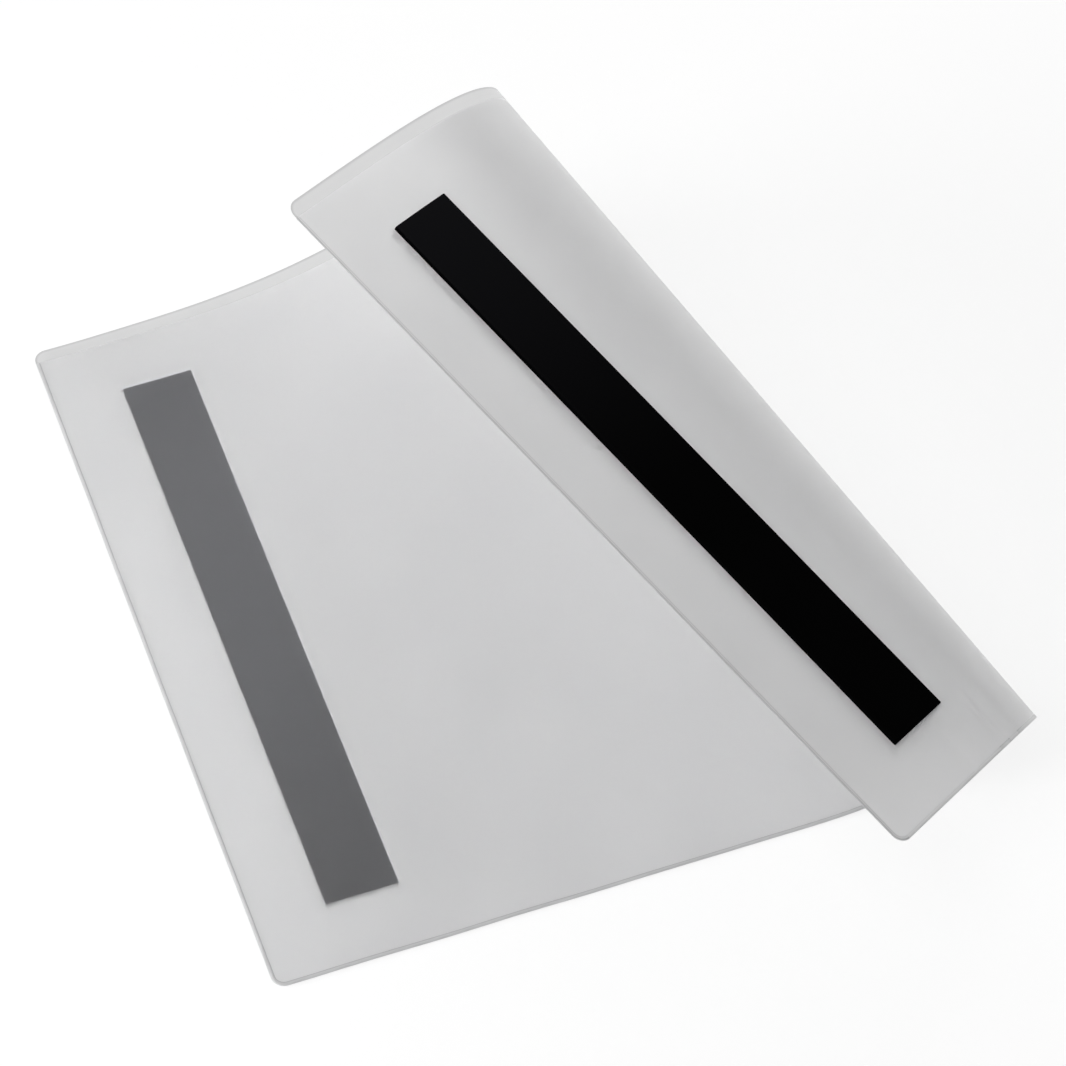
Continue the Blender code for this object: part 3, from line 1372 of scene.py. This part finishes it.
@dataclass
class MagneticStrips:
    """The two magnetic strips on the back, each held by a thin tape."""

    layout: PocketLayout
    thickness: float = 0.0015
    strip_top: float = -0.00035
    strip_bevel: float = 0.00018
    tape_top: float = -0.0001
    tape_thickness: float = 0.00015
    tape_bevel: float = 0.00003
    row_step: float = 0.005
    columns: int = 8
    sharp_angle: float = math.radians(30)
    strip_finish: MagneticRubber = MagneticRubber()
    tape_finish: MagneticRubber = MagneticRubber(
        "black_tape",
        # Painted sheen: the tape is painted lighter towards the mouth, in place of light reflected by
        # the film over it.
        painted_sheen_colour=(0.045, 0.045, 0.047),
        painted_sheen_start=0.02,
        painted_sheen_full=0.10,
        face_depth=0.01,
        roughness=(0.7, 0.8),
        grain=Grain(fine_scale=900.0, cloud_scale=60.0, bump_strength=0.35, bump_depth=0.00006),
    )

    def slab(
        self,
        name: str,
        sides: Span,
        ends: Span,
        heights: Span,
        bevel: float,
    ) -> bpy.types.Object:
        """A flat bar with bevelled edges that follows the film it is fixed to.

        Args:
            name: Name of the piece.
            sides: Across of its two long edges.
            ends: Along of its two ends.
            heights: Height of its lower and of its upper face.
            bevel: Width of the bevel on all its edges.

        Returns:
            The piece, not yet attached to a body.
        """
        low, high = heights
        inner = np.linspace(sides[0] + bevel, sides[1] - bevel, self.columns + 1)
        lower = [(across, low) for across in inner]
        right = [(sides[1], low + bevel), (sides[1], high - bevel)]
        upper = [(across, high) for across in inner[::-1]]
        left = [(sides[0], high - bevel), (sides[0], low + bevel)]
        outline = np.array(lower + right + upper + left)
        middle = np.array((sum(sides) / 2, (low + high) / 2))
        shrink = np.abs(outline - middle).max(axis=0)
        drawn_in = middle + (outline - middle) * (1.0 - bevel / shrink)
        rows = spaced(ends[0] + bevel, ends[1] - bevel, self.row_step)
        rings = [(ends[0], drawn_in), *((row, outline) for row in rows), (ends[1], drawn_in)]
        around = len(outline)
        across = np.concatenate([ring[:, 0] for _, ring in rings])
        height = np.concatenate([ring[:, 1] for _, ring in rings])
        along = np.repeat([row for row, _ in rings], around)
        points = self.layout.sheet.carry(across, along, height)
        faces = [tuple(range(around))]
        for row in range(len(rings) - 1):
            for side in range(around):
                beside = (side + 1) % around
                here, there = row * around, (row + 1) * around
                faces.append((here + side, there + side, there + beside, here + beside))
        faces.append(tuple((len(rings) - 1) * around + side for side in range(around))[::-1])
        piece = new_piece(name, points, faces)
        piece.data.flip_normals()
        piece.data.set_sharp_from_angle(angle=self.sharp_angle)
        store_places(piece, across, along)
        store_places(piece, height - low, along, SECTION_MAP)
        return piece

    def build(self) -> list[bpy.types.Object]:
        """Make the strips and tapes, dress them and attach them to the frame.

        Returns:
            The pieces.
        """
        roll = self.layout.sheet.roll
        rubber, tape_black = self.strip_finish.build(), self.tape_finish.build()
        pieces = []
        for side, stretch in self.layout.side_stretches():
            sides, ends = roll.strip_sides(side), roll.strip_ends
            heights = (self.strip_top - self.thickness, self.strip_top)
            strip = self.slab(f"{side.value}_strip", sides, ends, heights, self.strip_bevel)
            tape_sides = (sides[0] + roll.tape_inset, sides[1] - roll.tape_inset)
            tape_ends = (ends[0] + roll.tape_inset, ends[1] - roll.tape_inset)
            heights = (self.tape_top - self.tape_thickness, self.tape_top)
            tape = self.slab(f"{side.value}_tape", tape_sides, tape_ends, heights, self.tape_bevel)
            for piece, node, material, slot in (
                (strip, f"{side.value}_magnetic_strip", rubber, "magnetic_rubber"),
                (tape, f"{side.value}_adhesive_tape", tape_black, "adhesive_tape"),
            ):
                piece.data.materials.append(material)
                stretch.attach(piece)
                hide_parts(node)
                pieces.append(piece)
        return pieces


@dataclass(frozen=True)
class Lamp:
    """A round soft lamp that faces the pocket."""

    name: str
    direction: tuple[float, float, float]
    distance: float
    size: float
    power: float

    def place(self, target: Vector) -> None:
        """Hang the lamp in its direction from the target.

        Args:
            target: The point that the lamp faces.
        """
        lamp = bpy.data.lights.new(self.name, "AREA")
        lamp.shape = "DISK"
        lamp.size = self.size
        lamp.energy = self.power
        holder = bpy.data.objects.new(self.name, lamp)
        bpy.context.scene.collection.objects.link(holder)
        direction = Vector(self.direction).normalized()
        holder.location = target + direction * self.distance
        holder.rotation_mode = "QUATERNION"
        holder.rotation_quaternion = direction.to_track_quat("Z", "Y")


@dataclass
class Studio:
    """The white floor, the soft light and the camera at the photograph's viewing angle."""

    floor_size: float = 8.0
    floor_level: float = -0.0001
    floor_colour: Colour = (0.97, 0.97, 0.97)
    floor_white_share: float = 0.82
    sky: tuple[tuple[float, Colour], ...] = (
        (0.0, (0.15, 0.15, 0.155)),
        (0.5, (0.18, 0.18, 0.18)),
    )
    lamps: tuple[Lamp, ...] = (
        Lamp("front_light", direction=(-0.35, -0.35, 0.87), distance=1.8, size=1.0, power=11.3),
        Lamp("left_light", direction=(-0.90, 0.0, 0.43), distance=0.8, size=0.5, power=6.4),
        Lamp("back_light", direction=(0.50, 0.60, 0.60), distance=0.8, size=0.5, power=1.8),
    )
    image_side: float = 1066.0
    focal_pixels: float = 4731.8
    sensor: float = 36.0
    clip: Span = (0.05, 50.0)
    azimuth: float = math.radians(-20.56)
    elevation: float = math.radians(53.46)
    roll: float = math.radians(0.81)
    distance: float = 1.29166
    target: tuple[float, float, float] = (0.08095, 0.00439, 0.00185)

    def floor(self) -> None:
        """Lay the floor under the pocket."""
        half = self.floor_size / 2
        signs = ((-1, -1), (1, -1), (1, 1), (-1, 1))
        corners = np.array([(x * half, y * half, self.floor_level) for x, y in signs])
        floor = new_piece("studio_floor", corners, [(0, 1, 2, 3)])
        floor.data.materials.append(self.floor_finish())

    def floor_finish(self) -> bpy.types.Material:
        """White paint that shadows only darken in part where the camera or the films look at it.

        Returns:
            The material.
        """
        sheet = MaterialSheet.start("white_floor")
        sheet.set(Base_Color=(*self.floor_colour, 1.0), Roughness=1.0, Specular_IOR_Level=0.0)
        path = sheet.nodes.new("ShaderNodeLightPath")
        seen = path.outputs["Is Camera Ray"]
        for kind in ("Is Glossy Ray", "Is Transmission Ray"):
            either = sheet.nodes.new("ShaderNodeMath")
            either.operation = "MAXIMUM"
            sheet.links.new(seen, either.inputs[0])
            sheet.links.new(path.outputs[kind], either.inputs[1])
            seen = either.outputs[0]
        white = sheet.nodes.new("ShaderNodeEmission")
        white.inputs["Strength"].default_value = 1.0
        mix = sheet.nodes.new("ShaderNodeMixShader")
        sheet.links.new(sheet.ranged(seen, 0.0, self.floor_white_share), mix.inputs["Fac"])
        sheet.links.new(sheet.shader.outputs["BSDF"], mix.inputs[1])
        sheet.links.new(white.outputs["Emission"], mix.inputs[2])
        sheet.links.new(mix.outputs["Shader"], sheet.nodes["Material Output"].inputs["Surface"])
        return sheet.material

    def lights(self) -> None:
        """Set the even sky and the soft lamps."""
        world = bpy.data.worlds.new("studio_sky")
        world.use_nodes = True
        nodes, links = world.node_tree.nodes, world.node_tree.links
        place = nodes.new("ShaderNodeTexCoord")
        split = nodes.new("ShaderNodeSeparateXYZ")
        links.new(place.outputs["Generated"], split.inputs[0])
        rise = nodes.new("ShaderNodeValToRGB")
        for stop, (height, colour) in zip(rise.color_ramp.elements, self.sky):
            stop.position = height
            stop.color = (*colour, 1.0)
        links.new(split.outputs["Z"], rise.inputs["Fac"])
        links.new(rise.outputs["Color"], nodes["Background"].inputs["Color"])
        bpy.context.scene.world = world
        for lamp in self.lamps:
            lamp.place(Vector(self.target))

    def camera(self) -> None:
        """Place the camera."""
        back = Vector(
            (
                math.sin(self.azimuth) * math.cos(self.elevation),
                -math.cos(self.azimuth) * math.cos(self.elevation),
                math.sin(self.elevation),
            )
        )
        right = Vector((math.cos(self.azimuth), math.sin(self.azimuth), 0.0))
        up = back.cross(right)
        tilted_right = right * math.cos(self.roll) + up * math.sin(self.roll)
        tilted_up = up * math.cos(self.roll) - right * math.sin(self.roll)
        data = bpy.data.cameras.new("camera")
        data.sensor_width = self.sensor
        data.lens = self.sensor * self.focal_pixels / self.image_side
        data.clip_start, data.clip_end = self.clip
        camera = bpy.data.objects.new("camera", data)
        bpy.context.scene.collection.objects.link(camera)
        turn = Matrix((tilted_right, tilted_up, back)).transposed()
        place = Vector(self.target) + back * self.distance
        camera.matrix_world = Matrix.Translation(place) @ turn.to_4x4()
        bpy.context.scene.camera = camera

    def build(self) -> None:
        """Set up the whole studio."""
        self.floor()
        self.lights()
        self.camera()
        bpy.context.scene.view_settings.view_transform = "Standard"


def main() -> None:
    """Dress the frame and set up the studio."""
    logging.basicConfig(level=logging.INFO, format="%(name)s: %(message)s")
    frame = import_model()
    roll = Roll()
    layout = PocketLayout(RolledSheet(roll), frame["joints"])
    relief = Relief(roll)
    for assembly in (Films(layout, relief), Welds(layout, relief), MagneticStrips(layout)):
        for piece in assembly.build():
            log.info("%s: %d faces", piece.name, len(piece.data.polygons))
    Studio().build()


if __name__ == "__main__":
    main()
